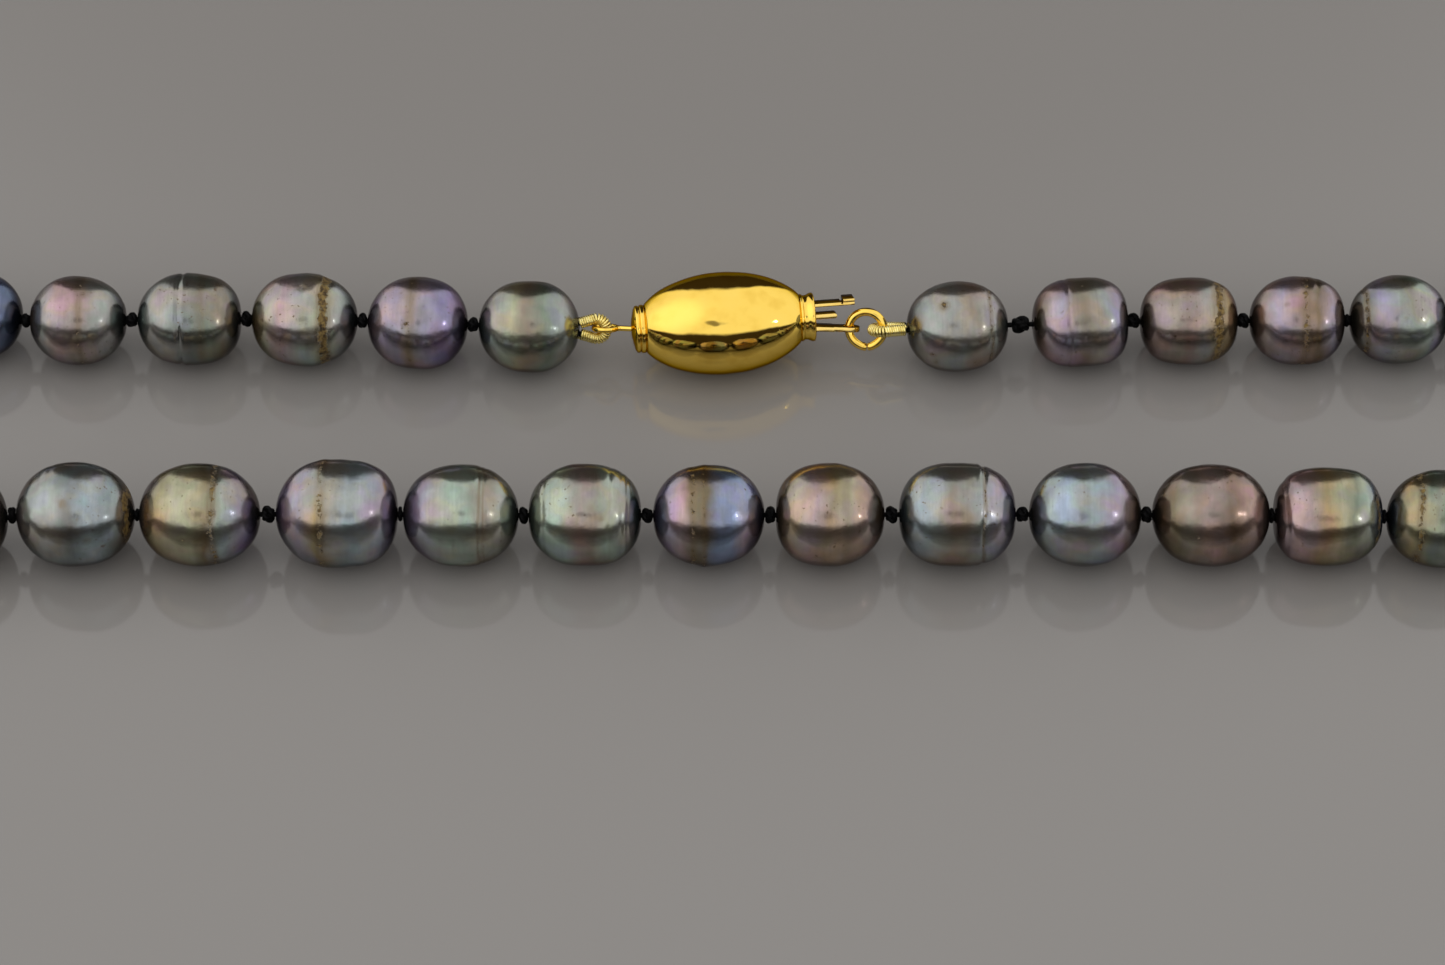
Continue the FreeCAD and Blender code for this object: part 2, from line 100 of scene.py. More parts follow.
# ---- bullion loops ----
COIL_WIRE, COIL_OUTER, COIL_PITCH, COIL_STEPS = 0.115, 0.52, 0.2, 16
LOOP_SPREAD, LOOP_TIP_INSET = 0.5, 0.47
# points nearer than this are joined
WELD = 0.0005
# ---- light: angles in degrees, directions from the necklace ----
TENT_COLOUR, DARK_COLOUR = (1.0, 0.985, 0.965, 1), (0.036, 0.027, 0.02, 1)
TENT_EDGE_DEG, TENT_FULL_DEG, TENT_LEVEL = 19, 28, 1.05
ARCH_HALF_WIDTH, ARCH_HEIGHT = 0.45, 0.78
LENS_EDGE_DEG, LENS_CORE_DEG, LENS_DARKNESS = 8, 3, 0.75
GLOW_TOWARDS, GLOW_EDGE_DEG, GLOW_CORE_DEG, GLOW = (-0.69, -0.15, 0.68), 50, 8, 0.35
LAMP_TOWARDS, LAMP_DISTANCE, LAMP_SIZE, LAMP_WATTS = (0.80, -0.40, 0.45), 0.6, 0.05, 0.09
# ---- camera ----
CAMERA_ELEVATION_DEG = 49.74
CAMERA_DISTANCE = 0.3775
CAMERA_LENS = 111.7
AIM_TOWARDS_FRONT = -0.00739
AIM_HEIGHT = 0.0042


# ---------------------------------------------------------------- node helpers

def add_node(tree, kind, inputs=None, **settings):
    """A node with its settings, and its inputs set to values or linked to sockets."""
    node = tree.nodes.new("ShaderNode" + kind)
    for name, value in settings.items():
        setattr(node, name, value)
    for key, value in (inputs or {}).items():
        socket = node.inputs[key]
        if isinstance(value, bpy.types.NodeSocket):
            tree.links.new(value, socket)
        else:
            socket.default_value = value
    return node


def maths(tree, operation, a, b=0.0, clamp=False):
    return add_node(tree, "Math", {0: a, 1: b}, operation=operation, use_clamp=clamp).outputs[0]


def step(tree, value, low, high, to_low=0.0, to_high=1.0):
    """A smooth step of a value from low to high."""
    inputs = {"Value": value, "From Min": low, "From Max": high, "To Min": to_low, "To Max": to_high}
    return add_node(tree, "MapRange", inputs, interpolation_type="SMOOTHSTEP").outputs[0]


def noise_value(tree, vector, scale, detail, roughness=0.5):
    inputs = {"Vector": vector, "Scale": scale, "Detail": detail, "Roughness": roughness}
    return add_node(tree, "TexNoise", inputs).outputs["Fac"]


def mixed_colour(tree, factor, a, b, blend="MIX"):
    node = add_node(tree, "Mix", {0: factor, 6: a, 7: b}, data_type="RGBA", blend_type=blend)
    return node.outputs[2]


def ramp(tree, value, colours, places=None):
    """A colour ramp with its colours evenly spaced, or at the places given."""
    node = add_node(tree, "ValToRGB", {"Fac": value})
    elements = node.color_ramp.elements
    last = len(colours) - 1
    places = places or [k / last for k in range(last + 1)]
    while len(elements) < len(colours):
        elements.new(1.0)
    for element, place, colour in zip(elements, places, colours):
        element.position = place
        element.color = (*colour, 1.0)
    return node.outputs["Color"]


def attribute(tree, name, output="Vector"):
    return add_node(tree, "Attribute", attribute_name=name).outputs[output]


def new_material(name):
    """An empty material with its Principled node and output."""
    material = bpy.data.materials.new(name)
    material.use_nodes = True
    tree = material.node_tree
    tree.nodes.clear()
    shader = tree.nodes.new("ShaderNodeBsdfPrincipled")
    output = tree.nodes.new("ShaderNodeOutputMaterial")
    tree.links.new(shader.outputs[0], output.inputs[0])
    return material, tree, shader


def set_inputs(tree, shader, inputs):
    for key, value in inputs.items():
        if isinstance(value, bpy.types.NodeSocket):
            tree.links.new(value, shader.inputs[key])
        else:
            shader.inputs[key].default_value = value


def bump(tree, height, distance_mm):
    inputs = {"Height": height, "Distance": distance_mm * MM, "Strength": 1.0}
    return add_node(tree, "Bump", inputs).outputs[0]


# ---------------------------------------------------------------- mesh helpers

def new_piece(name, points_mm, faces, body, material, floats, vectors, sharp_deg):
    """A smooth mesh that rides on a body, from points in millimetres in the necklace's frame."""
    mesh = bpy.data.meshes.new(name)
    mesh.from_pydata([Vector(p) * MM for p in points_mm], [], faces)
    for attribute_name, values in floats.items():
        data = mesh.attributes.new(attribute_name, "FLOAT", "POINT").data
        data.foreach_set("value", np.asarray(values, np.float32))
    for attribute_name, values in vectors.items():
        data = mesh.attributes.new(attribute_name, "FLOAT_VECTOR", "POINT").data
        data.foreach_set("vector", np.asarray(values, np.float32).ravel())
    mesh.validate()
    mesh.shade_smooth()
    mesh.set_sharp_from_angle(angle=math.radians(sharp_deg))
    mesh.materials.append(material)
    piece = bpy.data.objects.new(name, mesh)
    bpy.context.scene.collection.objects.link(piece)
    if body:
        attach(piece, body)
    return piece


def grid_faces(rows, columns, close_rows):
    """Quads of a grid whose columns go round, and whose rows join up too if asked."""
    faces = []
    for r in range(rows if close_rows else rows - 1):
        below, above = r * columns, ((r + 1) % rows) * columns
        for c in range(columns):
            n = (c + 1) % columns
            faces.append((below + c, below + n, above + n, above + c))
    return faces


def swept_tube(path, radius, sides, closed=False):
    """Points, faces and (along, around) of a round tube along a path, capped if it is open.

    The radius is one value or one for each point of the path.
    """
    path = np.asarray(path, float)
    count = len(path)
    radii = np.broadcast_to(np.asarray(radius, float), (count,))
    ahead = np.roll(path, -1, 0) - np.roll(path, 1, 0)
    if not closed:
        ahead[0], ahead[-1] = path[1] - path[0], path[-1] - path[-2]
    ahead /= np.linalg.norm(ahead, axis=1)[:, None]
    side = np.cross(ahead[0], (0.3, 0.5, 0.81))
    sides_list = []
    for direction in ahead:
        side = side - direction * side.dot(direction)
        side /= np.linalg.norm(side)
        sides_list.append(side)
    across = np.array(sides_list)
    other = np.cross(ahead, across)
    angles = np.arange(sides) * 2 * math.pi / sides
    ring = (across[:, None] * np.cos(angles)[None, :, None] + other[:, None] * np.sin(angles)[None, :, None])
    points = path[:, None] + ring * radii[:, None, None]
    lengths = np.concatenate([[0], np.cumsum(np.linalg.norm(np.diff(path, axis=0), axis=1))])
    along = np.repeat(lengths, sides)
    around = np.tile(angles, count)
    faces = grid_faces(count, sides, closed)
    points = points.reshape(-1, 3)
    if not closed:
        faces.append(tuple(reversed(range(sides))))
        faces.append(tuple(range((count - 1) * sides, count * sides)))
    return points, faces, along, around


def rounded_profile(corners, radius):
    """An outline with each inner corner replaced by a small arc."""
    steps = 5
    points = [Vector(corners[0])]
    for before, corner, after in zip(corners[:-2], corners[1:-1], corners[2:]):
        before, corner, after = Vector(before), Vector(corner), Vector(after)
        cut = min(radius, (corner - before).length * 0.45, (after - corner).length * 0.45)
        start = corner + (before - corner).normalized() * cut
        end = corner + (after - corner).normalized() * cut
        for k in range(steps + 1):
            t = k / steps
            points.append(start * (1 - t) ** 2 + corner * 2 * t * (1 - t) + end * t ** 2)
    points.append(Vector(corners[-1]))
    return points


def lathe(profile, place, steps=96, swell=None):
    """Points and faces turned about the X axis of a place, from (x, radius) points.

    swell gives a small outward move for a point, from its place along and its angle.
    """
    points = []
    for x, radius in profile:
        for k in range(steps):
            angle = 2 * math.pi * k / steps
            grown = radius + (swell(x, angle) if swell and radius > 0 else 0.0)
            points.append(place @ Vector((x, grown * math.cos(angle), grown * math.sin(angle))))
    return points, grid_faces(len(profile), steps, False)


def weld(piece):
    """Joins points that lie together, such as those at a lathe's pole."""
    work = bmesh.new()
    work.from_mesh(piece.data)
    bmesh.ops.remove_doubles(work, verts=work.verts, dist=WELD * MM)
    bmesh.ops.recalc_face_normals(work, faces=work.faces)
    work.to_mesh(piece.data)
    work.free()


# ---------------------------------------------------------------- places read from the frame

def joint(name):
    return next(j for j in frame["joints"] if j["name"] == name)


def node_points(name):
    """A CAD node's vertices in millimetres."""
    return np.array([v.co for v in frame["nodes"][name].data.vertices]) / MM


def box_centre(name):
    low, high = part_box(name)
    return (low + high) / 2 / MM


def pearl_site(name):
    """Where a pearl is: its middle, its axis, pointing right, its half length and its radius."""
    points = node_points(name)
    low, high = points[:, 2].min(), points[:, 2].max()
    radius, height = (high - low) / 2, (high + low) / 2
    cap = points[points[:, 2] > height + 0.4 * radius]
    middle = np.array([cap[:, 0].mean(), cap[:, 1].mean(), height])
    pivots = [np.array(j["pos_m"]) / MM for j in frame["joints"]
              if name in (j["parent"], j["child"]) and j["name"].startswith("knot")]
    axis = max((p - middle for p in pivots), key=lambda v: abs(v[0]) + abs(v[1]))
    axis[2] = 0
    axis /= np.linalg.norm(axis)
    if axis[0] < -1e-6:
        axis = -axis
    offset = points - middle
    along = offset @ axis
    radial = np.linalg.norm(offset - along[:, None] * axis, axis=1)
    body = along[radial > SILK_REACH]
    middle = middle + axis * (body.max() + body.min()) / 2
    return Vector(middle), Vector(axis), (body.max() - body.min()) / 2 / BODY_SHARE, radius


def pearl_place(middle, axis):
    """A matrix to the necklace's frame from a pearl's own: X along it, Y away from the front, Z up."""
    away = UP.cross(axis)
    return Matrix((
        (axis.x, away.x, 0, middle.x),
        (axis.y, away.y, 0, middle.y),
        (axis.z, away.z, 1, middle.z),
        (0, 0, 0, 1)))


def clasp_place():
    """A matrix to the necklace's frame from the clasp's own axes."""
    along = Vector(joint("tongue_slide")["axis"])
    across = Vector(joint("leaf_press")["axis"])
    up = along.cross(across)
    middle = box_centre("clasp_shell")
    return Matrix((
        (along.x, across.x, up.x, middle.x),
        (along.y, across.y, up.y, middle.y),
        (along.z, across.z, up.z, middle.z),
        (0, 0, 0, 1)))


# ---------------------------------------------------------------- how each pearl looks

TONES = {
    "silver": (0.31, 0.31, 0.30),
    "pewter": (0.17, 0.17, 0.165),
    "slate": (0.10, 0.115, 0.125),
    "mint": (0.33, 0.385, 0.335),
    "sage": (0.20, 0.225, 0.18),
    "teal": (0.085, 0.12, 0.125),
    "straw": (0.36, 0.34, 0.235),
    "cream": (0.39, 0.33, 0.24),
    "gold": (0.33, 0.25, 0.135),
    "beige": (0.28, 0.235, 0.195),
    "tan": (0.18, 0.135, 0.085),
    "bronze": (0.155, 0.11, 0.08),
    "rose": (0.33, 0.245, 0.235),
    "pink": (0.37, 0.28, 0.31),
    "lilac": (0.31, 0.265, 0.35),
    "violet": (0.20, 0.16, 0.31),
    "aubergine": (0.085, 0.055, 0.085),
    "blue": (0.22, 0.265, 0.41),
    "ice": (0.31, 0.36, 0.40),
    "navy": (0.055, 0.07, 0.13),
}


def look(tones, rings=(), pits=(), lumps=0.014, skew=0.0, left_square=2.15, right_square=2.15, ends=0.0,
         overtone="pink"):
    """How a pearl looks. tones run from left to right.

    rings are (place, half width, depth in mm, brown): place and width are shares of the half length, a
    negative depth is a ridge, and brown is from 0 to 1. pits are (place, angle up from the front in
    degrees, radius in mm, depth in mm, brown).
    """
    return {"tones": tones.split(), "rings": rings, "pits": pits, "lumps": lumps, "skew": skew,
            "left_square": left_square, "right_square": right_square, "ends": ends, "overtone": overtone}


LOOKS = {
    # the clasp's strand, left of the clasp, from the clasp outwards
    "pearl_01": look("teal silver straw beige sage silver pewter", [(-0.02, 0.16, 0.03, 0.25)],
                     [(0.25, 35, 0.35, 0.05, 0.2)], overtone="mint"),
    "pearl_02": look("aubergine pink lilac beige lilac violet aubergine", [(-0.08, 0.11, 0.02, 0.45)],
                     [(-0.17, 44, 0.28, 0.14, 1.0), (0.1, 24, 0.3, 0.05, 0.4)], skew=0.02,
                     overtone="lilac"),
    "pearl_03": look("gold straw pink mint straw silver slate", [(0.42, 0.12, 0.12, 1.0)],
                     [(0.02, 92, 0.5, 0.06, 0.7)], skew=-0.01, overtone="pink"),
    "pearl_04": look("teal silver silver pewter sage tan slate", [(-0.13, 0.035, 0.16, 0.0),
                     (-0.04, 0.03, -0.05, 0.0), (0.3, 0.12, 0.03, 0.4)], left_square=2.2,
                     right_square=2.5, overtone="silver"),
    "pearl_05": look("rose silver pink beige silver silver pewter", [(0.12, 0.10, 0.02, 0.45)],
                     [(0.2, 86, 0.6, 0.05, 0.6)], ends=0.5, overtone="pink"),
    "pearl_06": look("slate blue silver violet navy navy", [(0.1, 0.1, 0.03, 0.2)], overtone="blue"),
    # the clasp's strand, right of the clasp
    "pearl_42": look("pewter silver silver silver beige silver pewter", [(0.62, 0.05, 0.05, 0.6)],
                     [(-0.3, 78, 0.5, 0.06, 0.8), (-0.55, 5, 0.28, 0.03, 0.9),
                      (-0.48, -8, 0.22, 0.03, 0.9)], left_square=2.2, overtone="rose"),
    "pearl_41": look("tan pink lilac beige beige silver lilac pewter", [(0.02, 0.14, 0.02, 0.35),
                     (-0.3, 0.03, 0.06, 0.3)], left_square=2.5, right_square=3.0, overtone="lilac"),
    "pearl_40": look("bronze rose beige rose silver gold bronze", [(0.55, 0.13, 0.07, 0.9),
                     (-0.1, 0.08, 0.02, 0.25)], left_square=2.6, right_square=2.5, overtone="rose"),
    "pearl_39": look("bronze rose lilac rose tan lilac bronze", [(0.1, 0.12, 0.04, 0.6),
                     (0.35, 0.05, 0.04, 0.3)], [(-0.3, 70, 0.3, 0.04, 0.5)], right_square=2.5,
                     overtone="rose"),
    "pearl_38": look("tan pewter lilac silver sage mint lilac slate", [(-0.72, 0.06, 0.06, 0.7)],
                     [(0.0, 48, 0.35, 0.08, 0.3)], overtone="silver"),
    # the front strand, from left to right
    "pearl_16": look("pewter beige silver tan pewter", [(0.2, 0.1, 0.04, 0.4)], overtone="mint"),
    "pearl_17": look("pink silver silver pewter ice pewter tan", [(0.9, 0.07, 0.02, 0.9),
                     (-0.4, 0.05, 0.03, 0.1)], [(-0.1, 62, 0.4, 0.03, 0.6), (0.15, 44, 0.2, 0.03, 0.5),
                     (0.3, 20, 0.5, 0.04, 0.4)], overtone="ice"),
    "pearl_18": look("pink gold cream straw tan ice violet slate", [(0.28, 0.07, 0.03, 0.7)],
                     [(0.3, 52, 0.3, 0.07, 0.9), (-0.2, 20, 0.25, 0.04, 0.6)],
                     overtone="straw"),
    "pearl_19": look("violet pink lilac gold silver ice ice lilac aubergine",
                     [(-0.22, 0.09, -0.05, 0.6), (0.22, 0.1, 0.05, 0.1)], [(-0.2, 30, 0.35, 0.06, 0.7)],
                     lumps=0.024, right_square=2.6, overtone="ice"),
    "pearl_20": look("lilac lilac silver mint mint beige silver pewter", [(0.34, 0.025, 0.06, 0.5),
                     (0.42, 0.02, 0.05, 0.4), (-0.1, 0.1, 0.02, 0.1)], lumps=0.018, overtone="mint"),
    "pearl_21": look("sage mint mint rose beige mint silver teal", [(0.45, 0.03, 0.05, 0.2),
                     (0.66, 0.025, 0.06, 0.1), (0.76, 0.02, 0.05, 0.1), (-0.72, 0.03, 0.04, 0.2)],
                     [(0.3, 46, 0.22, 0.05, 0.7), (0.12, 58, 0.4, 0.03, 0.3)], left_square=2.3,
                     right_square=2.4, overtone="mint"),
    "pearl_22": look("violet lilac pink tan tan blue blue lilac aubergine", [(-0.28, 0.07, 0.03, 0.6),
                     (-0.08, 0.06, -0.04, 0.5)], [(0.1, 12, 0.3, 0.03, 0.3)], lumps=0.016,
                     overtone="blue"),
    "pearl_23": look("bronze cream pink gold cream rose tan", [(0.3, 0.12, 0.03, 0.3)],
                     left_square=2.5, overtone="rose"),
    "pearl_24": look("slate ice silver beige beige silver lilac violet", [(0.44, 0.035, 0.12, 0.6),
                     (0.36, 0.03, -0.04, 0.1), (-0.1, 0.1, 0.02, 0.2)], left_square=2.4,
                     right_square=2.5, overtone="ice"),
    "pearl_25": look("pewter silver ice silver ice lilac pink bronze", [(0.7, 0.08, 0.03, 0.3)],
                     [(-0.35, 40, 0.3, 0.03, 0.2)], overtone="ice"),
    "pearl_26": look("bronze tan beige rose bronze rose bronze", [(-0.3, 0.12, 0.03, 0.3),
                     (0.4, 0.08, 0.03, 0.2)], overtone="rose"),
    "pearl_27": look("bronze pink rose gold straw sage mint blue", [(0.88, 0.07, 0.03, 0.8),
                     (-0.82, 0.05, 0.09, 0.2)], left_square=2.9, right_square=2.5, ends=0.6,
                     overtone="pink"),
    "pearl_28": look("slate gold sage silver pewter beige", [(-0.45, 0.08, 0.05, 0.7)],
                     overtone="straw"),
}
UNSEEN_TONES = ("pewter silver mint beige silver slate", "aubergine lilac beige violet blue navy",
                "bronze rose cream beige rose tan", "teal mint straw sage silver pewter",
                "violet pink silver ice blue slate", "tan gold cream pink sage pewter")


def pearl_look(number):
    """The look of a pearl by its number: as listed, or drawn from a seeded choice on the two turns."""
    name = f"pearl_{number:02d}"
    if name in LOOKS:
        return LOOKS[name]
    draw = random.Random(100 + number)
    rings = [(draw.uniform(-0.5, 0.5), draw.uniform(0.04, 0.14), draw.uniform(0.02, 0.1),
              draw.uniform(0.1, 0.8))]
    pits = [(draw.uniform(-0.5, 0.5), draw.uniform(0, 360), draw.uniform(0.2, 0.45), 0.05,
             draw.uniform(0.2, 0.9))]
    return look(draw.choice(UNSEEN_TONES), rings, pits, lumps=draw.uniform(0.006, 0.014),
                skew=draw.uniform(-0.01, 0.01), left_square=draw.uniform(2.0, 2.15),
                right_square=draw.uniform(2.0, 2.15), overtone=draw.choice(("pink", "mint", "blue")))


# ---------------------------------------------------------------- nacre

OCHRE, BROWN, DARK_BROWN = (0.24, 0.165, 0.05), (0.10, 0.06, 0.02), (0.014, 0.009, 0.005)
STAIN = (0.17, 0.125, 0.07)
# the faint rainbow that wanders over every pearl, as a multiplier of its own colour
ORIENT = [(1.12, 0.94, 1.03), (1.07, 1.02, 0.88), (1.0, 1.0, 1.0), (0.94, 1.05, 0.98), (0.92, 0.97, 1.13)]


def nacre_material(name, looks):
    """Lustrous nacre: colours that drift along and over the pearl, growth lines, rough brown scars, and
    painted shade that darkens both ends of the pearl.
    """
    material, tree, shader = new_material(name)
    grain = attribute(tree, "grain")
    axial = attribute(tree, "axial", "Fac")
    scar = attribute(tree, "scar", "Fac")

    drift = maths(tree, "MULTIPLY", maths(tree, "SUBTRACT", noise_value(tree, grain, 0.24, 2.5), 0.5), 0.36)
    place = maths(tree, "ADD", axial, drift, clamp=True)
    colour = ramp(tree, place, [TONES[t] for t in looks["tones"]])
    cloud = noise_value(tree, grain, 0.17, 2.0)
    patch = step(tree, cloud, 0.44, 0.66, 0.0, 0.5)
    colour = mixed_colour(tree, patch, colour, (*TONES[looks["overtone"]], 1.0))
    orient = ramp(tree, noise_value(tree, grain, 0.38, 2.5), ORIENT, [0.3, 0.42, 0.5, 0.58, 0.7])
    colour = mixed_colour(tree, 1.0, colour, orient, "MULTIPLY")

    stretched = add_node(tree, "VectorMath", {0: grain, 1: (3.4, 0.3, 0.3)}, operation="MULTIPLY").outputs[0]
    lines = noise_value(tree, stretched, 1.0, 3.0, 0.6)
    mottle = noise_value(tree, grain, 0.6, 3.0, 0.5)
    shade = maths(tree, "MULTIPLY", step(tree, lines, 0.3, 0.7, 0.95, 1.05),
                  step(tree, mottle, 0.3, 0.7, 1.08, 0.86))
    # painted shade: towards both ends, where the pearl meets its neighbours and knots, its colour is
    # darkened to under half
    from_middle = maths(tree, "ABSOLUTE", maths(tree, "SUBTRACT", axial, 0.5))
    shade = maths(tree, "MULTIPLY", shade, step(tree, from_middle, 0.42, 0.49, 1.0, 0.45))
    colour = mixed_colour(tree, 1.0, colour, shade, "MULTIPLY")

    speck = step(tree, noise_value(tree, grain, 3.2, 2.0), 0.67, 0.71, 0.0, 0.75)
    speck = maths(tree, "MULTIPLY", speck, step(tree, cloud, 0.45, 0.56))
    colour = mixed_colour(tree, speck, colour, (*BROWN, 1.0))

    # a faint scar is only a soft brown stain; a strong one is crusted and pitted, with a ragged edge
    stain = maths(tree, "MULTIPLY", step(tree, scar, 0.05, 0.5, 0.0, 0.62),
                  step(tree, lines, 0.35, 0.6, 0.45, 1.0))
    colour = mixed_colour(tree, stain, colour, (*STAIN, 1.0))
    crumbs = noise_value(tree, grain, 1.7, 5.0, 0.72)
    broken = maths(tree, "ADD", scar, maths(tree, "MULTIPLY", maths(tree, "SUBTRACT", crumbs, 0.5), 1.9))
    mask = maths(tree, "MULTIPLY", step(tree, broken, 0.55, 0.82), step(tree, scar, 0.1, 0.4))
    scar_colour = ramp(tree, noise_value(tree, grain, 2.6, 4.0, 0.75), [DARK_BROWN, BROWN, OCHRE, BROWN],
                       [0.38, 0.47, 0.6, 0.72])
    colour = mixed_colour(tree, maths(tree, "MULTIPLY", mask, 0.92), colour, scar_colour)

    metal = step(tree, mask, 0.0, 1.0, 0.93, 0.35)
    rough = maths(tree, "ADD", step(tree, mottle, 0.3, 0.75, 0.2, 0.25), maths(tree, "MULTIPLY", mask, 0.2))
    height = maths(tree, "ADD", maths(tree, "MULTIPLY", lines, 0.12),
                   maths(tree, "MULTIPLY", noise_value(tree, grain, 0.7, 3.0), 1.0))
    height = maths(tree, "ADD", height, maths(tree, "MULTIPLY", mask, crumbs))
    set_inputs(tree, shader, {
        "Base Color": colour, "Metallic": metal, "Roughness": rough, "Normal": bump(tree, height, 0.04),
        "Specular Tint": (0.3, 0.26, 0.26, 1.0), "Coat Weight": step(tree, mask, 0.0, 1.0, 0.45, 0.0),
        "Coat Roughness": 0.05, "Coat IOR": 1.45})
    return material


def pearl_piece(number):
    """A pearl turned about its bore, then made uneven: rings, lumps, pits and slightly flared ends."""
    name = f"pearl_{number:02d}"
    looks = pearl_look(number)
    middle, axis, half, radius = pearl_site(name)
    place = pearl_place(middle, axis)
    seed = Vector((number * 7.3, number * 3.1, number * 5.7))
    first = math.asin(min(1.0, BORE / radius))
    points, axial, scar, grain = [], [], [], []
    for r in range(STEPS_ALONG + 1):
        turn = first + (math.pi - 2 * first) * r / STEPS_ALONG
        share = -math.cos(turn)
        power = 2 / (looks["left_square"] if share < 0 else looks["right_square"])
        u = math.copysign(abs(share) ** power, share)
        base = radius * math.sin(turn) ** power
        at_bore = r in (0, STEPS_ALONG)
        for c in range(STEPS_AROUND):
            angle = 2 * math.pi * c / STEPS_AROUND
            ring = Vector((0, -math.cos(angle), math.sin(angle)))
            spot = Vector((half * u, 0, 0)) + ring * base
            brown = 0.0
            move = radius * 1.7 * looks["lumps"] * noise.noise(spot * 0.36 + seed)
            move += radius * 0.005 * noise.noise(spot * 1.1 + seed)
            move += radius * looks["skew"] * u
            for at, width, depth, stain in looks["rings"]:
                wobble = 0.035 * noise.noise(ring * 1.4 + seed + Vector((at, 0, 0)))
                near = math.exp(-(((u - at - wobble) / width) ** 2))
                uneven = 1 + 0.5 * noise.noise(ring * 2.2 + seed)
                move -= depth * near * uneven
                brown = max(brown, stain * near)
            for at, up_deg, size, depth, stain in looks["pits"]:
                target = Vector((0, -math.cos(math.radians(up_deg)), math.sin(math.radians(up_deg))))
                gap = math.hypot(half * (u - at), radius * ring.angle(target)) / size
                near = math.exp(-gap * gap)
                move -= depth * near
                brown = max(brown, stain * near)
            flare = looks["ends"] * 0.25 * math.exp(-(((abs(u) - 0.97) / 0.03) ** 2))
            grown = BORE if at_bore else max(BORE, base + (move + flare) * min(1.0, base / 1.2))
            points.append(place @ (Vector((half * u, 0, 0)) + ring * grown))
            axial.append(0.5 + 0.5 * u)
            scar.append(brown)
            grain.append(Vector((half * u, 0, 0)) + ring * grown + seed)
    material = nacre_material("nacre_" + name[-2:], looks)
    floats = {"axial": axial, "scar": scar}
    piece = new_piece("nacre_" + name[-2:], points, grid_faces(STEPS_ALONG + 1, STEPS_AROUND, True), name,
                      material, floats, {"grain": grain}, 60.0)
    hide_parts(name)
    return middle, axis, half, radius


# ---------------------------------------------------------------- silk

def silk_material():
    """Black twisted silk: a soft sheen over fine slanting plies."""
    material, tree, shader = new_material("black_silk")
    along, around = attribute(tree, "along", "Fac"), attribute(tree, "around", "Fac")
    twist = maths(tree, "SINE", maths(tree, "ADD", maths(tree, "MULTIPLY", along, 16.0),
                                      maths(tree, "MULTIPLY", around, 3.0)))
    fuzz = noise_value(tree, attribute(tree, "grain"), 14.0, 4.0)
    shade = maths(tree, "ADD", maths(tree, "MULTIPLY", twist, 0.25), fuzz)
    colour = ramp(tree, shade, [(0.0005, 0.0005, 0.0007), (0.0022, 0.0022, 0.0026), (0.009, 0.0085, 0.01)],
                  [0.2, 0.55, 0.95])
    height = maths(tree, "ADD", maths(tree, "MULTIPLY", twist, 0.6), fuzz)
    set_inputs(tree, shader, {
        "Base Color": colour, "Roughness": step(tree, fuzz, 0.3, 0.7, 0.5, 0.75),
        "Normal": bump(tree, height, 0.03), "Sheen Weight": 0.01, "Sheen Roughness": 0.4,
        "Specular IOR Level": 0.09})
    return material


def silk_piece(name, path, radius, body, sides, closed=False):
    points, faces, along, around = swept_tube(path, radius, sides, closed)
    return new_piece(name, points, faces, body, SILK, {"along": along, "around": around},
                     {"grain": points}, 80.0)


def knot_path(place, length, size, turn):
    """A closed overhand knot, pulled small: length along X, size across."""
    path = []
    steps = 84
    for k in range(steps):
        t = 2 * math.pi * k / steps
        reach = size * KNOT_SPREAD * (2 + math.cos(3 * t))
        spot = Vector((KNOT_SWAY * length * math.sin(3 * t), reach * math.cos(2 * t),
                       reach * math.sin(2 * t)))
        path.append(place @ (Matrix.Rotation(turn, 4, "X") @ spot))
    return path


def strand_between(a_site, b_site, pivot, parent, child, label, gap):
    """The silk in one gap: a thread from bore to bore that bends with the knot's joint, and the knot."""
    draw = random.Random(label)
    (a_middle, _, a_half, _), (b_middle, _, b_half, _) = a_site, b_site
    towards = (b_middle - a_middle).normalized()
    # where no joint holds the second pearl, the thread only just enters its bore
    reach_in = THREAD_IN_BORE if child else LOOSE_THREAD_IN_BORE
    start, end = a_middle + towards * (a_half - THREAD_IN_BORE), b_middle - towards * (b_half - reach_in)
    steps = 12
    path = [start.lerp(end, k / steps) for k in range(steps + 1)]
    thread = silk_piece("thread_" + label, path, THREAD_RADIUS, None, 10)
    if child:
        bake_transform(thread)
    else:
        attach(thread, parent)
    flat = Vector((towards.x, towards.y, 0)).normalized()
    place = pearl_place(pivot, flat)
    size = draw.uniform(1.0, 1.3)
    turn = draw.uniform(0, 6)
    # where the pearls are close, the knot is pulled thinner and shorter to stay between them
    wire = min(0.23 + 0.05 * draw.random(), gap * 0.38)
    room = gap / 2 - wire - 0.02
    length = max(0.1, min(gap * 0.75, LONGEST_KNOT, room / KNOT_SWAY))
    silk_piece("knot_" + label, knot_path(place, length, size, turn), wire, parent, 8, True)


def gap_between(a, b):
    """The way from one pearl's end to the next one's."""
    return (b[0] - a[0]).length - a[2] - b[2]


def silk_pieces(sites):
    """Thread and knot for every gap, the open one in the middle of the front strand included."""
    for j in frame["joints"]:
        if not j["name"].startswith("knot"):
            continue
        a, b = sites[j["parent"]], sites[j["child"]]
        pivot = Vector(j["pos_m"]) / MM
        label = j["name"].removeprefix("knot_")
        strand_between(a, b, pivot, j["parent"], j["child"], label, max(gap_between(a, b), LEAST_GAP))
    first, second = f"pearl_{LEFT_PEARLS:02d}", f"pearl_{LEFT_PEARLS + 1:02d}"
    a, b = sites[first], sites[second]
    gap = gap_between(a, b)
    pivot = a[0] + (b[0] - a[0]).normalized() * (a[2] + gap / 2)
    strand_between(a, b, pivot, first, None, f"{LEFT_PEARLS}_{LEFT_PEARLS + 1}", max(gap, LEAST_GAP))


# ---------------------------------------------------------------- gold

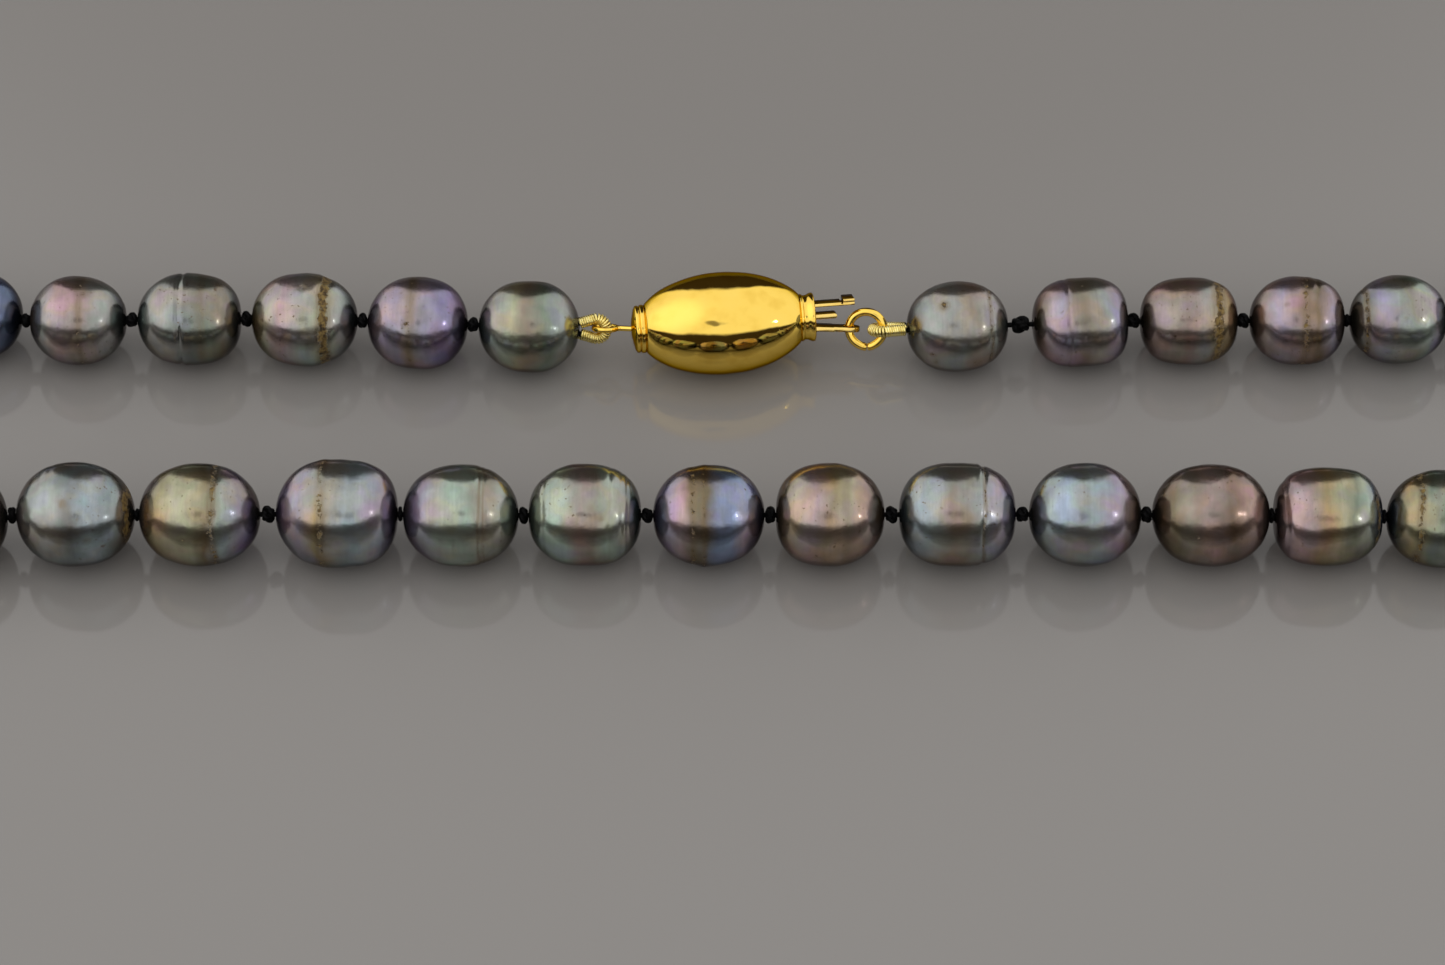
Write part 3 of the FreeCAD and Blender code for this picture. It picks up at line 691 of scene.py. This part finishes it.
def gold_material(name, colour, wear, roughness, rim):
    """Polished yellow gold with a slight waviness and hairline scratches, and painted shade in the hollows
    of the waviness.

    rim is how bright the metal stays where it is seen edge on.
    """
    material, tree, shader = new_material(name)
    grain = attribute(tree, "grain")
    waves = noise_value(tree, grain, 0.55, 2.0)
    fine = noise_value(tree, grain, 9.0, 3.0)
    drawn = add_node(tree, "VectorMath", {0: grain, 1: (1.5, 14.0, 14.0)}, operation="MULTIPLY").outputs[0]
    hairs = noise_value(tree, drawn, 1.0, 3.0, 0.7)
    # painted shade: the colour follows the waviness, darker and warmer where the surface dips and a little
    # paler on its rises
    scales = ((0.9, 0.86, 0.75), (1, 1, 1), (1, 1.02, 1.1))
    tint = [tuple(c * s for c, s in zip(colour, scale)) for scale in scales]
    shaded = ramp(tree, waves, tint, [0.3, 0.5, 0.7])
    rough = maths(tree, "ADD", step(tree, hairs, 0.45, 0.8, roughness, roughness + wear),
                  maths(tree, "MULTIPLY", fine, wear * 0.4))
    height = maths(tree, "ADD", maths(tree, "MULTIPLY", waves, 1.0), maths(tree, "MULTIPLY", fine, 0.02))
    set_inputs(tree, shader, {"Base Color": shaded, "Metallic": 1.0, "Roughness": rough,
                              "Specular Tint": (rim, 0.7 * rim, 0.4 * rim, 1.0),
                              "Normal": bump(tree, height, 0.02)})
    return material


def gold_piece(name, points, faces, body, node, material=None, sharp_deg=40.0):
    piece = new_piece(name, points, faces, body, material or GOLD, {}, {"grain": points}, sharp_deg)
    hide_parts(node)
    return piece


def shell_radius(x, wall=0.0):
    half, radius = SHELL_HALF_LENGTH - wall, SHELL_RADIUS - wall
    return radius * math.sqrt(max(0.0, 1 - (x / half) ** 2))


def shell_piece(place):
    """The hollow olive, hammered almost true: its skin wanders by a few hundredths of a millimetre."""
    steps = 84
    xs = [-SHELL_END + 2 * SHELL_END * k / steps for k in range(steps + 1)]
    outer = [(-SHELL_END, 0.0)] + [(x, shell_radius(x)) for x in xs]
    mouth = [(SHELL_END, MOUTH_RADIUS), (SHELL_END - 0.45, MOUTH_RADIUS)]
    inner = [(x, shell_radius(x, SHELL_WALL)) for x in reversed(xs)
             if -SHELL_END + 0.25 < x < SHELL_END - 0.5]
    profile = outer + mouth + inner + [(-SHELL_END + 0.2, 0.0)]

    def swell(x, angle):
        spot = Vector((x, 3 * math.cos(angle), 3 * math.sin(angle)))
        return 0.045 * noise.noise(spot * 0.33) + 0.02 * noise.noise(spot * 0.75 + Vector((5, 2, 1)))

    points, faces = lathe(profile, place, 128, swell=swell)
    piece = gold_piece("gold_shell", points, faces, "clasp", "clasp_shell", sharp_deg=50)
    weld(piece)


def turned_pieces(place):
    """The ridged end cap and the flared mouth collar."""
    x, r = -SHELL_END, CAP_RADIUS
    cap = [(x + 0.02, 0), (x + 0.02, r - 0.12), (x - 0.08, r), (x - 0.38, r), (x - 0.46, r - 0.16),
           (x - 0.54, r - 0.05), (x - 0.78, r - 0.05), (x - 0.95, r - 0.35), (x - 1.08, r - 0.9),
           (-CAP_TIP, r - 1.55), (-CAP_TIP, 0)]
    points, faces = lathe([tuple(p) for p in rounded_profile(cap, 0.1)], place)
    weld(gold_piece("gold_end_cap", points, faces, "clasp", "end_cap"))
    x, r = SHELL_END, RIM_RADIUS
    collar = [(x - 0.02, MOUTH_RADIUS), (x - 0.02, r - 0.1), (x + 0.15, r - 0.04), (x + 0.32, r - 0.2),
              (x + 0.6, r - 0.17), (x + 0.85, r - 0.04), (x + 1.0, r), (x + 1.15, r),
              (RIM_TIP, r - 0.14), (RIM_TIP, MOUTH_RADIUS), (x - 0.02, MOUTH_RADIUS)]
    points, faces = lathe([tuple(p) for p in rounded_profile(collar, 0.08)], place)
    weld(gold_piece("gold_mouth_collar", points, faces, "clasp", "mouth_collar"))


def soft_edged_piece(node, body):
    """A CAD strip or plate with its edges broken by a small round."""
    source = frame["nodes"][node]
    work = bmesh.new()
    work.from_mesh(source.data)
    bmesh.ops.remove_doubles(work, verts=work.verts, dist=0.001 * MM)
    bmesh.ops.dissolve_limit(work, angle_limit=math.radians(1.0), verts=work.verts, edges=work.edges)
    sharp = [e for e in work.edges if len(e.link_faces) == 2 and e.calc_face_angle(0) > math.radians(35)]
    bmesh.ops.bevel(work, geom=sharp, offset=EDGE * MM, segments=3, profile=0.5, affect="EDGES",
                    clamp_overlap=True)
    bmesh.ops.recalc_face_normals(work, faces=work.faces)
    work.verts.ensure_lookup_table()
    points = [v.co / MM for v in work.verts]
    faces = [tuple(v.index for v in f.verts) for f in work.faces]
    work.free()
    return gold_piece("gold_" + node, points, faces, body, node, STRIP_GOLD, 30)


def link_axes(direction):
    """Axes of a link: X this way, Z leaning as the clasp's strips do."""
    x = Vector(direction).normalized()
    lean = clasp_place().col[2].to_3d()
    z = (lean - x * lean.dot(x)).normalized()
    return x, z.cross(x), z


def left_eye_piece():
    """The eye is one wire: out from the end cap, round a circle and back to where it began."""
    low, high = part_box("left_eye")
    x, y, _ = link_axes((1, 0, 0))
    centre = Vector((low.x / MM + EYE_WIRE + EYE_RADIUS, 0, 0))
    eye = node_points("left_eye")
    ring = eye[eye[:, 0] < centre.x]
    centre.y, centre.z = (ring[:, 1].max() + ring[:, 1].min()) / 2, (ring[:, 2].max() + ring[:, 2].min()) / 2
    root_end = eye[eye[:, 0] > high.x / MM - 0.25].mean(axis=0)
    root = Vector(root_end) + x * 0.1
    neck = centre + x * (EYE_RADIUS + 0.12)
    path = [root.lerp(neck, k / 6) for k in range(6)]
    steps, half_gap = 40, 0.18
    for k in range(steps + 1):
        angle = half_gap + (2 * math.pi - 2 * half_gap) * k / steps
        path.append(centre + x * (EYE_RADIUS * math.cos(angle)) + y * (EYE_RADIUS * math.sin(angle)))
    path.append(neck + x * 0.12 - y * 0.1)
    points, faces, _, _ = swept_tube(path, EYE_WIRE, 16)
    gold_piece("gold_left_eye", points, faces, "clasp", "left_eye", sharp_deg=50)


def jump_ring_piece():
    """Round wire bent to a circle, cut through at the bottom and drawn to a slight point there."""
    points = node_points("jump_ring")
    centre = Vector((points.max(axis=0) + points.min(axis=0)) / 2)
    # the ring's plane is across its thinnest direction
    spread = np.linalg.eigh(np.cov((points - points.mean(axis=0)).T))[1]
    y = Vector(spread[:, 0])
    lean = clasp_place().col[2].to_3d()
    z = (lean - y * lean.dot(y)).normalized()
    x = y.cross(z)
    x = x if x.x > 0 else -x
    steps = 96
    path = []
    for k in range(steps + 1):
        angle = -math.pi / 2 + RING_HALF_CUT + (2 * math.pi - 2 * RING_HALF_CUT) * k / steps
        from_cut = min(angle + math.pi / 2, 3 * math.pi / 2 - angle)
        reach = RING_RADIUS * (1 + RING_POINT * math.exp(-((from_cut / RING_POINT_ANGLE) ** 2)))
        path.append(centre + x * (reach * math.cos(angle)) + z * (reach * math.sin(angle)))
    # the cut ends are filed round, so that the cut shows as a fine dark groove
    thickness = [RING_WIRE] * len(path)
    for k, share in enumerate((0.78, 0.95)):
        thickness[k] = thickness[-1 - k] = RING_WIRE * share
    tube, faces, _, _ = swept_tube(path, thickness, 20)
    gold_piece("gold_jump_ring", tube, faces, "jump_ring", "jump_ring", sharp_deg=50)


# ---------------------------------------------------------------- bullion wire

def horseshoe_path(tip, mouth, bight_radius, spread, across, steps):
    """Centre line of a bullion loop from the pearl's bore round the bight and back, evenly stepped."""
    x = (mouth - tip).normalized()
    length = (mouth - tip).length - 0.1
    corners = []
    centre = tip + x * bight_radius
    for k in range(25):
        angle = math.pi / 2 + math.pi * k / 24
        round_bight = x * math.cos(angle) + across * math.sin(angle)
        corners.append(centre + round_bight * bight_radius)
    ends = [tip + x * length + across * (s * spread) for s in (1, -1)]
    raw = [ends[0], ends[0].lerp(corners[0], 0.5)] + corners + [ends[1].lerp(corners[-1], 0.5), ends[1]]
    lengths = [0.0]
    for a, b in zip(raw[:-1], raw[1:]):
        lengths.append(lengths[-1] + (b - a).length)
    path = []
    for k in range(steps + 1):
        want = lengths[-1] * k / steps
        i = max(i for i, value in enumerate(lengths[:-1]) if value <= want)
        path.append(raw[i].lerp(raw[i + 1], (want - lengths[i]) / (lengths[i + 1] - lengths[i])))
    return path, lengths[-1]


def coil_path(centre_line, length, coil_radius, pitch, steps_per_turn):
    """A close helix round a centre line."""
    turns = length / pitch
    count = int(turns * steps_per_turn)
    path = []
    last = len(centre_line) - 1
    side = None
    for k in range(count + 1):
        place = k / count * last
        i = min(int(place), last - 1)
        spot = centre_line[i].lerp(centre_line[i + 1], place - i)
        ahead = (centre_line[min(i + 2, last)] - centre_line[max(i - 1, 0)]).normalized()
        side = ahead.orthogonal() if side is None else side
        side = (side - ahead * side.dot(ahead)).normalized()
        angle = 2 * math.pi * k / steps_per_turn
        round_wire = side * math.cos(angle) + ahead.cross(side) * math.sin(angle)
        path.append(spot + round_wire * coil_radius)
    return path


def bullion_material():
    """Bright drawn wire, paler than the clasp, dulled and darkened in patches."""
    material, tree, shader = new_material("bullion_gold")
    grain = attribute(tree, "grain")
    around = attribute(tree, "around", "Fac")
    patch = noise_value(tree, grain, 2.2, 3.0)
    colour = ramp(tree, patch, [(0.7, 0.56, 0.16), (0.92, 0.77, 0.28), (0.97, 0.88, 0.42)], [0.3, 0.5, 0.72])
    lines = maths(tree, "SINE", maths(tree, "MULTIPLY", around, 9.0))
    set_inputs(tree, shader, {
        "Base Color": colour, "Metallic": 1.0, "Roughness": step(tree, patch, 0.3, 0.7, 0.3, 0.18),
        "Normal": bump(tree, lines, 0.004)})
    return material


def bullion_pieces(side, tip, mouth, bight_radius, across, pearl):
    """A bullion loop and the silk inside it."""
    centre_line, length = horseshoe_path(tip, mouth, bight_radius, LOOP_SPREAD, across, 90)
    path = coil_path(centre_line, length, COIL_OUTER - COIL_WIRE, COIL_PITCH, COIL_STEPS)
    points, faces, _, around = swept_tube(path, COIL_WIRE, 8)
    coil = new_piece("bullion_coil_" + side, points, faces, pearl, BULLION,
                     {"around": around}, {"grain": points}, 80.0)
    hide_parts("bullion_" + side)
    into_bore = (mouth - tip).normalized() * 1.2
    inside = [mouth + into_bore] + centre_line[::3] + [mouth + into_bore]
    core = silk_piece("silk_in_bullion_" + side, inside, CORE_RADIUS, pearl, 8)
    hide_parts("silk_core_" + side)


def both_bullions(sites):
    loops = (("left", "pearl_01", True, 0.88), ("right", "pearl_42", False, 1.0))
    for side, pearl, stands_up, bight_radius in loops:
        middle, axis, half, _ = sites[pearl]
        outwards = axis if side == "left" else -axis
        mouth = middle + outwards * half
        points = node_points("bullion_" + side)
        far = points[np.argmax((points - np.array(mouth)) @ np.array(outwards))]
        reach = (Vector(far) - mouth).dot(outwards)
        near_tip = points[(points - np.array(mouth)) @ np.array(outwards) > reach - 0.12].mean(axis=0)
        direction = (Vector(near_tip) - mouth).normalized()
        tip = Vector(near_tip) - direction * LOOP_TIP_INSET
        _, y, z = link_axes(mouth - tip)
        bullion_pieces(side, tip, mouth, bight_radius, z if stands_up else y, pearl)


# ---------------------------------------------------------------- the studio

def floor():
    """A plain pale grey sheet with a slight gloss."""
    bpy.ops.mesh.primitive_grid_add(x_subdivisions=8, y_subdivisions=8, size=3.0)
    sheet = bpy.context.object
    sheet.name = "floor"
    material, tree, shader = new_material("floor")
    set_inputs(tree, shader, {"Base Color": (0.232, 0.222, 0.214, 1), "Roughness": 0.09,
                              "Specular IOR Level": 0.5})
    sheet.data.materials.append(material)


def facing(tree, direction, towards, edge_deg, core_deg):
    """1 within a cone round a direction, fading to 0 at its edge."""
    towards = towards.normalized()
    near = add_node(tree, "VectorMath", {0: direction, 1: towards}, operation="DOT_PRODUCT").outputs["Value"]
    return step(tree, near, math.cos(math.radians(edge_deg)), math.cos(math.radians(core_deg)))


def studio_light():
    """A soft tent over the front and top, open and dark behind, and one small lamp for a glint."""
    world = bpy.data.worlds.new("studio")
    bpy.context.scene.world = world
    world.use_nodes = True
    tree = world.node_tree
    tree.nodes.clear()
    direction = add_node(tree, "TexCoord").outputs["Generated"]
    parts = add_node(tree, "SeparateXYZ", {0: direction}).outputs
    # the front edge of the tent is a level line; its open back is an arch over the rear horizon
    rise = maths(tree, "ARCTAN2", parts[2], maths(tree, "ABSOLUTE", parts[1]))
    front = step(tree, rise, math.radians(TENT_EDGE_DEG), math.radians(TENT_FULL_DEG))
    ahead = step(tree, parts[1], -0.3, 0.1, 1.0, 0.0)
    front = maths(tree, "SUBTRACT", 1.0, maths(tree, "MULTIPLY", ahead, maths(tree, "SUBTRACT", 1.0, front)))
    across = maths(tree, "DIVIDE", parts[0], ARCH_HALF_WIDTH)
    up = maths(tree, "DIVIDE", parts[2], ARCH_HEIGHT)
    arch = maths(tree, "SQRT", maths(tree, "ADD", maths(tree, "MULTIPLY", across, across),
                                     maths(tree, "MULTIPLY", up, up)))
    arch = step(tree, arch, 0.9, 1.06)
    behind = step(tree, parts[1], -0.05, 0.15)
    rear = maths(tree, "SUBTRACT", 1.0, maths(tree, "MULTIPLY", behind, maths(tree, "SUBTRACT", 1.0, arch)))
    level = maths(tree, "MULTIPLY", front, rear)
    # a dark patch in the direction of the picture's viewpoint, as polished gold mirrors a lens
    lens = facing(tree, direction, camera_direction(), LENS_EDGE_DEG, LENS_CORE_DEG)
    lens = maths(tree, "SUBTRACT", 1.0, maths(tree, "MULTIPLY", lens, LENS_DARKNESS))
    level = maths(tree, "MULTIPLY", level, lens)
    # the tent is a little brighter on its left
    glow = facing(tree, direction, Vector(GLOW_TOWARDS), GLOW_EDGE_DEG, GLOW_CORE_DEG)
    glow = maths(tree, "ADD", TENT_LEVEL, maths(tree, "MULTIPLY", glow, GLOW))
    level = maths(tree, "MULTIPLY", level, glow)
    colour = mixed_colour(tree, level, DARK_COLOUR, TENT_COLOUR)
    colour.node.clamp_factor = False
    background = add_node(tree, "Background", {"Color": colour, "Strength": 1.0})
    output = tree.nodes.new("ShaderNodeOutputWorld")
    tree.links.new(background.outputs[0], output.inputs[0])

    lamp_data = bpy.data.lights.new("glint", "AREA")
    lamp_data.shape = "DISK"
    lamp_data.size = LAMP_SIZE
    lamp_data.energy = LAMP_WATTS
    lamp = bpy.data.objects.new("glint", lamp_data)
    bpy.context.scene.collection.objects.link(lamp)
    towards = Vector(LAMP_TOWARDS).normalized()
    lamp.location = towards * LAMP_DISTANCE
    lamp.rotation_euler = towards.to_track_quat("Z", "Y").to_euler()
    # it lights the necklace only, so that the glossy floor doesn't mirror it
    lit = bpy.data.collections.new("lit_by_glint")
    for thing in bpy.context.scene.objects:
        if thing.type == "MESH" and thing.name != "floor":
            lit.objects.link(thing)
    lamp.light_linking.receiver_collection = lit


def camera_direction():
    rise = math.radians(CAMERA_ELEVATION_DEG)
    return Vector((0, -math.cos(rise), math.sin(rise)))


def camera():
    data = bpy.data.cameras.new("camera")
    data.lens = CAMERA_LENS
    data.sensor_width = 36.0
    data.clip_start = 0.01
    eye = bpy.data.objects.new("camera", data)
    bpy.context.scene.collection.objects.link(eye)
    middle = box_centre("clasp_shell") * MM
    aim = Vector((middle.x, AIM_TOWARDS_FRONT, AIM_HEIGHT))
    back = camera_direction()
    eye.location = aim + back * CAMERA_DISTANCE
    eye.rotation_euler = back.to_track_quat("Z", "Y").to_euler()
    bpy.context.scene.camera = eye


# ---------------------------------------------------------------- build

SILK = silk_material()
GOLD = gold_material("gold", (0.96, 0.66, 0.125), 0.05, 0.045, 0.4)
STRIP_GOLD = gold_material("strip_gold", (0.95, 0.68, 0.2), 0.12, 0.12, 0.08)
BULLION = bullion_material()
bpy.context.scene.view_settings.view_transform = "Standard"

sites = {}
for number in range(1, PEARL_COUNT + 1):
    sites[f"pearl_{number:02d}"] = pearl_piece(number)
silk_pieces(sites)
both_bullions(sites)
place = clasp_place()
shell_piece(place)
turned_pieces(place)
for node, body in (("catch_plate", "clasp"), ("tongue_bar", "tongue"), ("spring_leaf", "leaf"),
                   ("thumb_tab", "leaf"), ("guard_tab", "tongue")):
    soft_edged_piece(node, body)
left_eye_piece()
jump_ring_piece()
floor()
studio_light()
camera()
